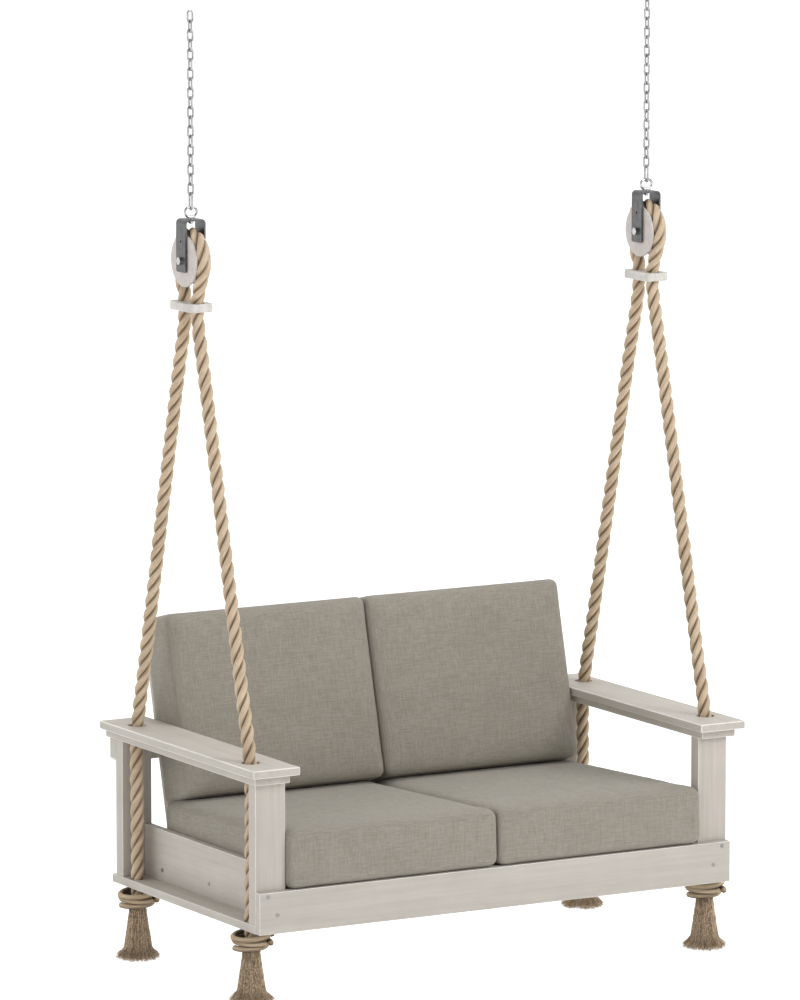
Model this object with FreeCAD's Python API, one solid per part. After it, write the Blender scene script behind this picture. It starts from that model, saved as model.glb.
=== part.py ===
"""Two-seat porch swing: a slatted bench on two ropes, each over a pulley that hangs from a chain.

It is drawn from the underside of the bottom planks (Z = 0), the front face of the front rail
(Y = 0) and the middle of the bench (X = 0), in millimetres. At the end everything is moved, so
that the origin is midway between the two points where the top chain links hang on their hooks.
Left is -X, as someone who stands before the swing sees it.
"""
import FreeCAD
import Part
import math
import os

Vector = FreeCAD.Vector
os.makedirs("parts", exist_ok=True)

# ---- Lumber -------------------------------------------------------------------------------
BOARD_T = 22.2          # rails, planks, panels and arms, planed
SLAT_T = 17.5           # seat and back slats
SLAT_W = 88.9
JOIST_W = 38.1          # bearers under the seat slats
POST_T = 38.1           # posts, front to back
POST_W = 88.9           # posts, side to side
ARM_W = 139.7
PANEL_H = 139.7
PLANK_W = 142.0
EASE = 2.0              # eased edges of the boards
ARM_EASE = 3.5          # the arms' softer edges

# ---- The bench ----------------------------------------------------------------------------
FRAME_WIDTH = 1448.0    # over the outer faces of the posts
FRAME_DEPTH = 806.0     # front face of the front rail to the rear face of the back posts
POST_H = 375.4
RAIL_H = 111.0          # front rail
REAR_RAIL_H = 67.0
REAR_RAIL_T = 31.8
REAR_RAIL_CORNER = 12.0
PLANK_PAST_POST = 19.5  # the plank runs on behind the back posts
PLANK_PAST_SIDE = 2.0
ARM_PAST_FRONT = 24.0
ARM_PAST_REAR = 3.0
ARM_IN_PAST_POST = 20.0
SUPPORT_INSET = 17.8    # the arm support's sides, in from the arm's
SEAT_TILT = 2.7         # degrees, lower at the back
RECLINE = 14.2          # degrees, of the back from upright
SEAT_SLAT_GAP = 8.5
SEAT_SLAT_START = 1.5   # from the front rail's rear face
SLAT_END_GAP = 0.5      # between a seat slat's end and the line of the posts' inner faces
BACK_SLATS = 9
BACK_SLATS_SHORT = 13.1  # the outer back slats' edges, in from the arms' inner edges
BACK_TOP = 250.0        # the slats' top, up the recline from the upper rear rail's top
TOP_RAIL_W = 64.0
TOP_RAIL_DROP = 12.0
TOP_RAIL_SHORT = 27.0   # each end of the top rail stops short of the outer slat's edge
WEDGE_SHORT = 12.0      # the wedge ends this far from the outer slats' edges
WEDGE_DROP = 13.0       # and this far under the rear rail's top, where it would be a feather edge
SLAT_SEAT = 2.0         # the back slats stand this far over the bearers

# ---- Cushions -----------------------------------------------------------------------------
SEAT_CUSHION_T = 154.0
SEAT_CUSHION_SHORT = 111.0  # the seat cushions are this much shorter than the frame is deep
SEAT_OVERHANG = 2.0     # the seat cushions' front, past the front rail's face
BACK_CUSHION_T = 152.0
BACK_CUSHION_H = 495.0
SOFT_GAP = 0.3          # between a cushion and what it rests on
CUSHION_SIDE_GAP = 1.0  # between a cushion and the post or arm beside it
CUSHION_EDGE = 14.0

# ---- Screws -------------------------------------------------------------------------------
SCREW_R = 2.4
SCREW_HEAD_R = 5.6
SCREW_HEAD_T = 1.6
SCREW_L = 44.0
SCREW_HEAD_ROUND = 1.0
RECESS_L = 5.2          # the cross recess in the head
RECESS_W = 1.3
RECESS_T = 1.0
SCREW_FIT = 0.05        # radial clearance of each screw in its hole
RAIL_SCREWS = ((26.0, 100.0), (53.0, 50.0))         # in from the rail's end, and height
MIDDLE_PANEL_SCREW_Z = 61.0
REAR_PANEL_SCREW_Z = 52.0
REAR_PANEL_SCREW_IN = 140.0     # before the back posts' rear faces
SCREW_INTO_SLAT = 0.7   # how far through a back slat its screw goes, as a share

# ---- Ropes --------------------------------------------------------------------------------
ROPE_D = 36.0
ROPE_IN_FROM_SIDE = 6.0     # the rope's outer side, in from the post's outer face
ROPE_BEHIND_POST = 11.7     # the front stretch's surface, behind the front post
ROPE_BEFORE_POST = 21.9     # the back stretch's surface, before the back post
ARM_HOLE_GAP = 6.5      # radial, about the rope
PLANK_HOLE_GAP = 2.0
ARM_BEND_R = 180.0
PLATE_BEND_R = 120.0
PLATE_BEND_APART = 12.0     # each bend in the plate, past the rope's radius from the middle
KNOT_R = 55.0
KNOT_H = 50.0
KNOT_NECK = 4.0         # the knot's top and bottom rings, past the rope and the tassel
KNOT_GAP = 0.3          # the knot bears on the plank
TASSEL_TOP_R = 22.0
TASSEL_HEM_R = 60.0
TASSEL_SKIRT_R = 42.0
TASSEL_L = 146.0
TASSEL_FLICK = 10.0     # the hem's flicked ends, over its lowest point

# ---- Spreader, pulley and bracket ---------------------------------------------------------
PLATE_Z = 1608.6        # middle of the spreader plate
PLATE_END_WALL = 10.7   # from a rope's hole to the plate's end
PLATE_SIDE_WALL = 16.7
PLATE_CORNER = 15.0
PLATE_HOLE_GAP = 0.3    # radial, about the rope, which bears in it
AXLE_Z = 1729.5
SHEAVE_ROOT_R = 50.8
RIM_PAST_ROPE = 1.05    # the rim's radius, past the rope's centreline
SHEAVE_LIP = 5.2        # flange outside the groove, at the rim
SHEAVE_RIM_ROUND = 2.5
GROOVE_GAP = 0.3
HUB_WALL = 6.45
SIDE_GAP = 0.3          # hub to bracket leg
SLEEVE_WALL = 3.1
SLEEVE_END_GAP = 0.1
RUNNING_FIT = 0.05
AXLE_R = 6.35
AXLE_HEAD_AF = 19.0     # across the flats
AXLE_HEAD_T = 8.0
AXLE_NUT_T = 10.5
AXLE_PAST_NUT = 3.0
STRAP_T = 4.8
STRAP_W = 50.8
STRAP_BEND_R = 12.0     # outside radius
STRAP_FOOT_ROUND = 6.0
LEG_ROOM = 2.25         # from the wheel's rim to each leg
LEG_BELOW_AXLE = 30.0
SHANK_ABOVE_ROPE = 8.4  # the eye bolt's end, over the rope at its top
SPARE_HOLE_R = 3.2
SPARE_HOLE_UP = 50.8

# ---- Eye bolt and chain -------------------------------------------------------------------
EYE_WIRE_R = 3.25
EYE_BEND_R = 12.5       # centreline
EYE_FLAT = 10.0         # the eye is this much wider than it is high
EYE_COLLAR_R = 7.5
EYE_COLLAR_T = 2.0
EYE_SHANK_R = 4.0
EYE_SHANK_L = 14.0
EYE_NUT_AF = 13.0
EYE_NUT_T = 6.5
LINK_WIRE_R = 2.75
LINK_INSIDE_L = 25.4
LINK_INSIDE_W = 9.0
LINK_GAP = 0.3          # between the wires of two links
CHAIN_LINKS = 19
LONG_LINK_INSIDE_L = 39.0

# ---- Worked out from the above ------------------------------------------------------------
POST_OUT = FRAME_WIDTH / 2
POST_IN = POST_OUT - POST_W
PLANK_TOP = BOARD_T
POST_TOP = PLANK_TOP + POST_H
SUPPORT_TOP = POST_TOP + BOARD_T
ARM_TOP = SUPPORT_TOP + BOARD_T
PLANK_OUT = POST_OUT + PLANK_PAST_SIDE
REAR_RAIL_Y1 = FRAME_DEPTH + REAR_RAIL_T
BACK_POST_Y0 = FRAME_DEPTH - POST_T
FRONT_POST_Y1 = BOARD_T + POST_T
ARM_IN = POST_IN - ARM_IN_PAST_POST
ARM_OUT = ARM_IN + ARM_W
ARM_Y0 = -ARM_PAST_FRONT
ARM_Y1 = REAR_RAIL_Y1 + ARM_PAST_REAR
BACK_SLAT_SPAN = 2 * (ARM_IN - BACK_SLATS_SHORT)
BACK_SCREW_L = BOARD_T + SLAT_T * SCREW_INTO_SLAT
SEAT_CUSHION_L = FRAME_DEPTH - SEAT_CUSHION_SHORT
ROPE_R = ROPE_D / 2
ROPE_X = POST_OUT - ROPE_IN_FROM_SIDE - ROPE_R
ROPE_FRONT_Y = FRONT_POST_Y1 + ROPE_BEHIND_POST + ROPE_R
ROPE_BACK_Y = BACK_POST_Y0 - ROPE_BEFORE_POST - ROPE_R
ROPE_SPREAD = ROPE_BACK_Y - ROPE_FRONT_Y
PIVOT_Y = (ROPE_FRONT_Y + ROPE_BACK_Y) / 2
ARM_BEND_Z = (POST_TOP + ARM_TOP) / 2
PLATE_BEND_Y = ROPE_R + PLATE_BEND_APART
WRAP_R = SHEAVE_ROOT_R + GROOVE_GAP + ROPE_R
SHEAVE_R = SHEAVE_ROOT_R + ROPE_R + RIM_PAST_ROPE
SHEAVE_HALF = ROPE_R + GROOVE_GAP + SHEAVE_LIP
SLEEVE_R = AXLE_R + RUNNING_FIT + SLEEVE_WALL
HUB_R = SLEEVE_R + RUNNING_FIT + HUB_WALL
STRAP_IN = SHEAVE_HALF + LEG_ROOM
STRAP_OUT = STRAP_IN + STRAP_T
STRAP_TOP = AXLE_Z + WRAP_R + ROPE_R + SHANK_ABOVE_ROPE + EYE_SHANK_L
EYE_Z = STRAP_TOP + EYE_COLLAR_T + EYE_BEND_R + EYE_WIRE_R
EYE_PIVOT_Z = EYE_Z + EYE_BEND_R
LONG_LINK_Z0 = EYE_PIVOT_Z - EYE_WIRE_R - LINK_GAP - LINK_WIRE_R
LINK_PITCH = LINK_INSIDE_L - LINK_GAP
LAST_LINK_Z0 = LONG_LINK_Z0 + LONG_LINK_INSIDE_L - LINK_GAP
TOP_LINK_Z0 = LAST_LINK_Z0 + (CHAIN_LINKS - 1) * LINK_PITCH
HOOK_Z = TOP_LINK_Z0 + LINK_INSIDE_L + LINK_WIRE_R
ORIGIN = Vector(0, PIVOT_Y, HOOK_Z)

SIDES = (("left", -1), ("right", 1))


# ---- Helpers ------------------------------------------------------------------------------
def block(x0, x1, y0, y1, z0, z1):
    """A box between two corners."""
    return Part.makeBox(x1 - x0, y1 - y0, z1 - z0, Vector(x0, y0, z0))


def board(x0, x1, y0, y1, z0, z1, ease=EASE):
    """A board with all its edges eased."""
    plain = block(x0, x1, y0, y1, z0, z1)
    return plain.makeFillet(ease, plain.Edges)


def sided(x0, x1, side):
    """X limits given for the right side, turned to the named side in rising order."""
    return (x0, x1) if side > 0 else (-x1, -x0)


def prism(profile, x0, x1):
    """A solid with a (Y, Z) outline, from x0 to x1."""
    points = [Vector(x0, y, z) for y, z in profile]
    face = Part.Face(Part.makePolygon(points + points[:1]))
    return face.extrude(Vector(x1 - x0, 0, 0))


def eased_prism(profile, x0, x1, ease=EASE):
    plain = prism(profile, x0, x1)
    return plain.makeFillet(ease, plain.Edges)


def cylinder(radius, length, start, axis):
    return Part.makeCylinder(radius, length, start, axis)


def hexagon(across_flats, thickness, start, axis):
    """A hexagonal head or nut that grows from start along axis (X or -Z)."""
    corner = across_flats / math.sqrt(3)
    points = []
    for k in range(6):
        a = math.radians(60 * k)
        if abs(axis.x) > 0.5:
            offset = Vector(0, corner * math.cos(a), corner * math.sin(a))
        else:
            offset = Vector(corner * math.cos(a), corner * math.sin(a), 0)
        points.append(start + offset)
    face = Part.Face(Part.makePolygon(points + points[:1]))
    return face.extrude(axis * thickness)


def turned(profile, centre):
    """A solid of revolution about a vertical line, from (radius, Z) points."""
    points = [Vector(centre.x + r, centre.y, z) for r, z in profile]
    face = Part.Face(Part.makePolygon(points + points[:1]))
    return face.revolve(centre, Vector(0, 0, 1), 360)


def save(name, *solids):
    """Moves the solids of one node to the part's origin and writes them."""
    shape = solids[0] if len(solids) == 1 else Part.makeCompound(list(solids))
    shape.translate(ORIGIN * -1)
    if not shape.isValid():
        print("not valid:", name)
    shape.exportStep("parts/" + name + ".step")


def seat_point(along, up):
    """A (Y, Z) point of the seat plane: along it from the front rail's back, and up from it.

    The plane is the top of the seat slats, level with the front rail's top at its back edge.
    """
    a = math.radians(SEAT_TILT)
    y = BOARD_T + along * math.cos(a) + up * math.sin(a)
    z = RAIL_H - along * math.sin(a) + up * math.cos(a)
    return y, z


def back_point(up, forward):
    """A (Y, Z) point of the back plane, from the upper rear rail's top front edge.

    The plane is the rear face of the back slats, which leans on that edge.
    """
    a = math.radians(RECLINE)
    y = FRAME_DEPTH + up * math.sin(a) - forward * math.cos(a)
    z = POST_TOP + up * math.cos(a) + forward * math.sin(a)
    return y, z


def back_up_at(z):
    """How far up the back plane's rear face the height z is."""
    return (z - POST_TOP) / math.cos(math.radians(RECLINE))


def seat_under_z(y, below):
    """The height of a plane parallel to the seat, that far below it, at y."""
    a = math.radians(SEAT_TILT)
    return RAIL_H - (y - BOARD_T) * math.tan(a) - below / math.cos(a)


def seat_length():
    """Along the seat plane, from the front rail's back to the back slats' front faces."""
    recline = math.radians(RECLINE)
    tilt = math.radians(SEAT_TILT)
    face_y, face_z = back_point(0, SLAT_T)
    lean = math.tan(recline)
    y_there = face_y + (RAIL_H - face_z) * lean - BOARD_T
    return y_there / (math.cos(tilt) + math.sin(tilt) * lean)


# ---- Screws, and the holes they run in ----------------------------------------------------
def screw(head_at, inward, length=SCREW_L):
    """A pan-head screw. head_at is on the board's face, and inward points into the board."""
    head = cylinder(SCREW_HEAD_R, SCREW_HEAD_T, head_at - inward * SCREW_HEAD_T, inward)
    rim = max(head.Edges, key=lambda e: (round(e.Length, 3), -e.CenterOfMass.dot(inward)))
    head = head.makeFillet(SCREW_HEAD_ROUND, [rim])
    top = head_at - inward * SCREW_HEAD_T
    turn = FreeCAD.Rotation(Vector(0, 0, 1), inward)
    for long_x, long_y in ((RECESS_L, RECESS_W), (RECESS_W, RECESS_L)):
        slot = Part.makeBox(long_x, long_y, RECESS_T + 1, Vector(-long_x / 2, -long_y / 2, -1))
        slot.Placement = FreeCAD.Placement(top, turn)
        head = head.cut(slot)
    return head.fuse(cylinder(SCREW_R, length, head_at, inward))


def screw_hole(head_at, inward, length=SCREW_L):
    return cylinder(SCREW_R + SCREW_FIT, length + SCREW_FIT, head_at, inward)


def rail_screw_points():
    return [Vector(side * (POST_OUT - x), 0, z) for _, side in SIDES for x, z in RAIL_SCREWS]


def panel_screw_points(side):
    x = side * (POST_IN + BOARD_T)
    return [
        Vector(x, FRAME_DEPTH / 2, MIDDLE_PANEL_SCREW_Z),
        Vector(x, FRAME_DEPTH - REAR_PANEL_SCREW_IN, REAR_PANEL_SCREW_Z),
    ]


def top_rail_screw_points():
    """On the rear face of the back's top rail, one at each slat."""
    up = BACK_TOP - TOP_RAIL_DROP - TOP_RAIL_W / 2
    y, z = back_point(up, -BOARD_T)
    return [Vector(x, y, z) for x in back_slat_middles()]


def recline_forward():
    a = math.radians(RECLINE)
    return Vector(0, -math.cos(a), math.sin(a))


# ---- The bench frame ----------------------------------------------------------------------
def front_rail():
    rail = board(-POST_OUT, POST_OUT, 0, BOARD_T, 0, RAIL_H)
    for point in rail_screw_points():
        rail = rail.cut(screw_hole(point, Vector(0, 1, 0)))
    save("front_rail", rail)


def posts():
    for word, side in SIDES:
        x0, x1 = sided(POST_IN, POST_OUT, side)
        front = board(x0, x1, BOARD_T, FRONT_POST_Y1, PLANK_TOP, POST_TOP)
        for point in rail_screw_points():
            front = front.cut(screw_hole(point, Vector(0, 1, 0)))
        save("front_post_" + word, front)
        back = board(x0, x1, BACK_POST_Y0, FRAME_DEPTH, PLANK_TOP, POST_TOP)
        save("back_post_" + word, back)


def bottom_planks():
    for word, side in SIDES:
        x0, x1 = sided(PLANK_OUT - PLANK_W, PLANK_OUT, side)
        plank = board(x0, x1, BOARD_T, FRAME_DEPTH + PLANK_PAST_POST, 0, PLANK_TOP)
        for y in (ROPE_FRONT_Y, ROPE_BACK_Y):
            start = Vector(side * ROPE_X, y, -1)
            plank = plank.cut(cylinder(ROPE_R + PLANK_HOLE_GAP, BOARD_T + 2, start, Vector(0, 0, 1)))
        save("bottom_plank_" + word, plank)


def side_panels():
    for word, side in SIDES:
        x0, x1 = sided(POST_IN, POST_IN + BOARD_T, side)
        panel = board(x0, x1, FRONT_POST_Y1, BACK_POST_Y0, PLANK_TOP, PLANK_TOP + PANEL_H)
        for point in panel_screw_points(side):
            panel = panel.cut(screw_hole(point, Vector(-side, 0, 0)))
        save("side_panel_" + word, panel)


def arms():
    for word, side in SIDES:
        x0, x1 = sided(ARM_IN, ARM_OUT, side)
        arm = board(x0, x1, ARM_Y0, ARM_Y1, SUPPORT_TOP, ARM_TOP, ARM_EASE)
        x0, x1 = sided(ARM_IN + SUPPORT_INSET, ARM_OUT - SUPPORT_INSET, side)
        support = board(x0, x1, 0, REAR_RAIL_Y1, POST_TOP, SUPPORT_TOP)
        for y in (ROPE_FRONT_Y, ROPE_BACK_Y):
            start = Vector(side * ROPE_X, y, POST_TOP - 1)
            hole = cylinder(ROPE_R + ARM_HOLE_GAP, 2 * BOARD_T + 2, start, Vector(0, 0, 1))
            arm = arm.cut(hole)
            support = support.cut(hole)
        save("arm_" + word, arm)
        save("arm_support_" + word, support)


def upper_rear_rail():
    z0 = POST_TOP - REAR_RAIL_H
    rail = block(-POST_OUT, POST_OUT, FRAME_DEPTH, REAR_RAIL_Y1, z0, POST_TOP)
    low_ends = [e for e in rail.Edges if abs(e.Length - REAR_RAIL_T) < 0.01 and e.CenterOfMass.z < z0 + 1]
    rail = rail.makeFillet(REAR_RAIL_CORNER, low_ends)
    save("upper_rear_rail", rail)


def lower_rear_rail():
    """Between the side panels, with its front face cut to the back's recline."""
    low = back_point(back_up_at(PLANK_TOP), 0)
    high = back_point(back_up_at(RAIL_H), 0)
    rear = high[0] + BOARD_T
    profile = [low, (rear, PLANK_TOP), (rear, RAIL_H), high]
    save("lower_rear_rail", prism(profile, -POST_IN, POST_IN))


def seat_bearers():
    """Joists from the front rail to the lower rear rail, sloped to the seat."""
    front_z = seat_under_z(BOARD_T, SLAT_T)
    a = math.radians(RECLINE)
    t = math.radians(SEAT_TILT)
    # where the slats' underside meets the back plane's rear face
    y = (FRAME_DEPTH + (front_z + BOARD_T * math.tan(t) - POST_TOP) * math.tan(a)) / (
        1 + math.tan(t) * math.tan(a)
    )
    profile = [
        (BOARD_T, PLANK_TOP),
        (BOARD_T, front_z),
        (y, seat_under_z(y, SLAT_T)),
        back_point(back_up_at(PLANK_TOP), 0),
    ]
    for word, side in SIDES:
        x0, x1 = sided(POST_IN - JOIST_W, POST_IN, side)
        bearer = prism(profile, x0, x1)
        for point in panel_screw_points(side):
            bearer = bearer.cut(screw_hole(point, Vector(-side, 0, 0)))
        save("seat_bearer_" + word, bearer)
    save("seat_bearer_centre", prism(profile, -JOIST_W / 2, JOIST_W / 2))
    return y, seat_under_z(y, SLAT_T)


def seat_slats():
    slats = []
    pitch = SLAT_W + SEAT_SLAT_GAP
    room = seat_length() - SEAT_SLAT_START
    for k in range(int((room + SEAT_SLAT_GAP) / pitch)):
        start = SEAT_SLAT_START + k * pitch
        profile = [
            seat_point(start, -SLAT_T),
            seat_point(start + SLAT_W, -SLAT_T),
            seat_point(start + SLAT_W, 0),
            seat_point(start, 0),
        ]
        slats.append(eased_prism(profile, SLAT_END_GAP - POST_IN, POST_IN - SLAT_END_GAP))
    save("seat_slats", *slats)


def back_slat_middles():
    pitch = (BACK_SLAT_SPAN - SLAT_W) / (BACK_SLATS - 1)
    return [(k - (BACK_SLATS - 1) / 2) * pitch for k in range(BACK_SLATS)]


def back_slats(bearer_end):
    """Upright slats from just over the bearers, leaning on the two rear rails."""
    low = back_up_at(bearer_end[1] + SLAT_SEAT)
    profile = [
        back_point(low, 0),
        back_point(BACK_TOP, 0),
        back_point(BACK_TOP, SLAT_T),
        back_point(low, SLAT_T),
    ]
    slats = []
    for x in back_slat_middles():
        slat = eased_prism(profile, x - SLAT_W / 2, x + SLAT_W / 2)
        for point in top_rail_screw_points():
            slat = slat.cut(screw_hole(point, recline_forward(), BACK_SCREW_L))
        slats.append(slat)
    save("back_slats", *slats)


def back_top_rail():
    top = BACK_TOP - TOP_RAIL_DROP
    profile = [
        back_point(top - TOP_RAIL_W, -BOARD_T),
        back_point(top, -BOARD_T),
        back_point(top, 0),
        back_point(top - TOP_RAIL_W, 0),
    ]
    half = BACK_SLAT_SPAN / 2 - TOP_RAIL_SHORT
    rail = eased_prism(profile, -half, half)
    for point in top_rail_screw_points():
        rail = rail.cut(screw_hole(point, recline_forward(), BACK_SCREW_L))
    save("back_top_rail", rail)


def back_wedge():
    """Fills the taper between the back slats and the upper rear rail."""
    z0 = POST_TOP - REAR_RAIL_H
    z1 = POST_TOP - WEDGE_DROP
    profile = [
        back_point(back_up_at(z0), 0),
        (FRAME_DEPTH, z0),
        (FRAME_DEPTH, z1),
        back_point(back_up_at(z1), 0),
    ]
    half = BACK_SLAT_SPAN / 2 - WEDGE_SHORT
    save("back_wedge", prism(profile, -half, half))


def frame_screws():
    screws = [screw(point, Vector(0, 1, 0)) for point in rail_screw_points()]
    for _, side in SIDES:
        screws += [screw(point, Vector(-side, 0, 0)) for point in panel_screw_points(side)]
    save("frame_screws", *screws)
    back = [screw(p, recline_forward(), BACK_SCREW_L) for p in top_rail_screw_points()]
    save("back_screws", *back)


# ---- Cushions -----------------------------------------------------------------------------
def seat_cushion_profile():
    front = -(BOARD_T + SEAT_OVERHANG) / math.cos(math.radians(SEAT_TILT))
    low = SOFT_GAP
    high = SOFT_GAP + SEAT_CUSHION_T
    return [
        seat_point(front, low),
        seat_point(front + SEAT_CUSHION_L, low),
        seat_point(front + SEAT_CUSHION_L, high),
        seat_point(front, high),
    ]


def seat_cushions():
    profile = seat_cushion_profile()
    for word, side in SIDES:
        x0, x1 = sided(CUSHION_SIDE_GAP, POST_IN - CUSHION_SIDE_GAP, side)
        save("seat_cushion_" + word, eased_prism(profile, x0, x1, CUSHION_EDGE))


def back_cushions():
    """They lean on the back slats and stand on the rear top edge of the seat cushions."""
    a = math.radians(RECLINE)
    corner_y, corner_z = seat_cushion_profile()[2]
    dy = corner_y - FRAME_DEPTH
    dz = corner_z - POST_TOP
    low = dy * math.sin(a) + dz * math.cos(a) + SOFT_GAP
    rear = SLAT_T + SOFT_GAP
    profile = [
        back_point(low, rear),
        back_point(low + BACK_CUSHION_H, rear),
        back_point(low + BACK_CUSHION_H, rear + BACK_CUSHION_T),
        back_point(low, rear + BACK_CUSHION_T),
    ]
    for word, side in SIDES:
        x0, x1 = sided(CUSHION_SIDE_GAP, ARM_IN - CUSHION_SIDE_GAP, side)
        save("back_cushion_" + word, eased_prism(profile, x0, x1, CUSHION_EDGE))


# ---- Ropes --------------------------------------------------------------------------------
def rope_half():
    """The bends of the front half of a rope, as (distance before the pivot plane, Z).

    The end at the knot, the bend in the arm, the bend in the plate, and the sheave's tangent.
    """
    end = (ROPE_SPREAD / 2, -KNOT_GAP)
    arm = (ROPE_SPREAD / 2, ARM_BEND_Z)
    plate = (PLATE_BEND_Y, PLATE_Z)
    rise = AXLE_Z - PLATE_Z
    reach = math.hypot(PLATE_BEND_Y, rise)
    out = math.asin(WRAP_R / reach) - math.atan2(PLATE_BEND_Y, rise)
    length = math.sqrt(reach ** 2 - WRAP_R ** 2)
    tangent = (PLATE_BEND_Y + length * math.sin(out), PLATE_Z + length * math.cos(out))
    return end, arm, plate, tangent, out


def bend(before, corner, after, radius):
    """A tangent arc of that radius in a corner: its start, its middle and its end."""
    a = (before - corner).normalize()
    b = (after - corner).normalize()
    half_inside = a.getAngle(b) / 2
    reach = radius / math.tan(half_inside)
    to_centre = (a + b).normalize()
    centre = corner + to_centre * (radius / math.sin(half_inside))
    return corner + a * reach, centre - to_centre * radius, corner + b * reach


def rope_path(x):
    end, arm, plate, tangent, _ = rope_half()
    front = [Vector(x, PIVOT_Y - d, z) for d, z in (end, arm, plate, tangent)]
    back = [Vector(x, PIVOT_Y + d, z) for d, z in (tangent, plate, arm, end)]
    arm_f = bend(front[0], front[1], front[2], ARM_BEND_R)
    plate_f = bend(front[1], front[2], front[3], PLATE_BEND_R)
    plate_b = bend(back[0], back[1], back[2], PLATE_BEND_R)
    arm_b = bend(back[1], back[2], back[3], ARM_BEND_R)
    top = Vector(x, PIVOT_Y, AXLE_Z + WRAP_R)
    edges = [
        Part.LineSegment(front[0], arm_f[0]),
        Part.Arc(*arm_f),
        Part.LineSegment(arm_f[2], plate_f[0]),
        Part.Arc(*plate_f),
        Part.LineSegment(plate_f[2], front[3]),
        Part.Arc(front[3], top, back[0]),
        Part.LineSegment(back[0], plate_b[0]),
        Part.Arc(*plate_b),
        Part.LineSegment(plate_b[2], arm_b[0]),
        Part.Arc(*arm_b),
        Part.LineSegment(arm_b[2], back[3]),
    ]
    return Part.Wire([edge.toShape() for edge in edges])


def rope_tube(path, radius):
    """A round tube of that radius along a rope's path."""
    start = path.OrderedVertexes[0].Point
    section = Part.Face(Part.Wire(Part.makeCircle(radius, start, Vector(0, 0, 1))))
    return path.makePipe(section)


def ropes():
    for word, side in SIDES:
        path = rope_path(side * ROPE_X)
        tube = rope_tube(path, ROPE_R)
        expected = math.pi * ROPE_R ** 2 * path.Length
        ratio = round(tube.Volume / expected, 4)
        print("rope", word, "length", round(path.Length, 1), "volume ratio", ratio)
        save("rope_" + word, tube)
    print("rope radii: arm", ARM_BEND_R, "plate", PLATE_BEND_R, "sheave", WRAP_R)


def rope_ends():
    """The stopper knot under the plank at each end of each rope, and its frayed tassel."""
    top = -KNOT_GAP
    low = top - KNOT_H
    quarter = KNOT_H / 4
    knot = [
        (0, top), (ROPE_R + KNOT_NECK, top), (KNOT_R, top - quarter), (KNOT_R, low + quarter),
        (TASSEL_TOP_R + KNOT_NECK, low), (0, low),
    ]
    waist_z = low - TASSEL_L / 3
    skirt_z = low - TASSEL_L * 3 / 4
    hem_z = low - TASSEL_L
    tassel = [
        (0, low), (TASSEL_TOP_R, low), (TASSEL_TOP_R, waist_z), (TASSEL_SKIRT_R, skirt_z),
        (TASSEL_HEM_R, hem_z + TASSEL_FLICK), (TASSEL_SKIRT_R, hem_z), (0, hem_z),
    ]
    for word, side in SIDES:
        for place, y in (("front", ROPE_FRONT_Y), ("back", ROPE_BACK_Y)):
            centre = Vector(side * ROPE_X, y, 0)
            save("knot_" + place + "_" + word, turned(knot, centre))
            save("tassel_" + place + "_" + word, turned(tassel, centre))


# ---- Spreader plates ----------------------------------------------------------------------
def spreaders():
    """Each holds the two stretches of a rope together under its pulley."""
    arm, plate, tangent = rope_half()[1:4]
    corners = [Vector(0, -distance, z) for distance, z in (arm, plate, tangent)]
    waist = bend(*corners, PLATE_BEND_R)[1]
    hole_r = ROPE_R + PLATE_HOLE_GAP
    half_width = hole_r + PLATE_SIDE_WALL
    half_length = abs(waist.y) + hole_r + PLATE_END_WALL
    for word, side in SIDES:
        x = side * ROPE_X
        plain = block(
            x - half_width, x + half_width,
            PIVOT_Y - half_length, PIVOT_Y + half_length,
            PLATE_Z - BOARD_T / 2, PLATE_Z + BOARD_T / 2,
        )
        upright = [e for e in plain.Edges if abs(e.Length - BOARD_T) < 0.01]
        body = plain.makeFillet(PLATE_CORNER, upright)
        flat = [e for e in body.Edges if abs(e.BoundBox.ZLength) < 0.01]
        body = body.makeFillet(EASE, flat)
        save("spreader_" + word, body.cut(rope_tube(rope_path(x), hole_r)))


# ---- Pulley blocks ------------------------------------------------------------------------
def sheave(x):
    """A grooved wheel with a hub on each side and a plain bore."""
    centre = Vector(x, PIVOT_Y, AXLE_Z)
    along = Vector(1, 0, 0)
    wheel = cylinder(SHEAVE_R, 2 * SHEAVE_HALF, centre - along * SHEAVE_HALF, along)
    rims = [e for e in wheel.Edges if abs(e.Length - 2 * math.pi * SHEAVE_R) < 0.1]
    wheel = wheel.makeFillet(SHEAVE_RIM_ROUND, rims)
    hub_half = STRAP_IN - SIDE_GAP
    wheel = wheel.fuse(cylinder(HUB_R, 2 * hub_half, centre - along * hub_half, along))
    groove = Part.makeTorus(WRAP_R, ROPE_R + GROOVE_GAP, centre, along)
    bore_start = centre - along * 2 * hub_half
    return wheel.cut(groove).cut(cylinder(SLEEVE_R + RUNNING_FIT, 4 * hub_half, bore_start, along))


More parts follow.
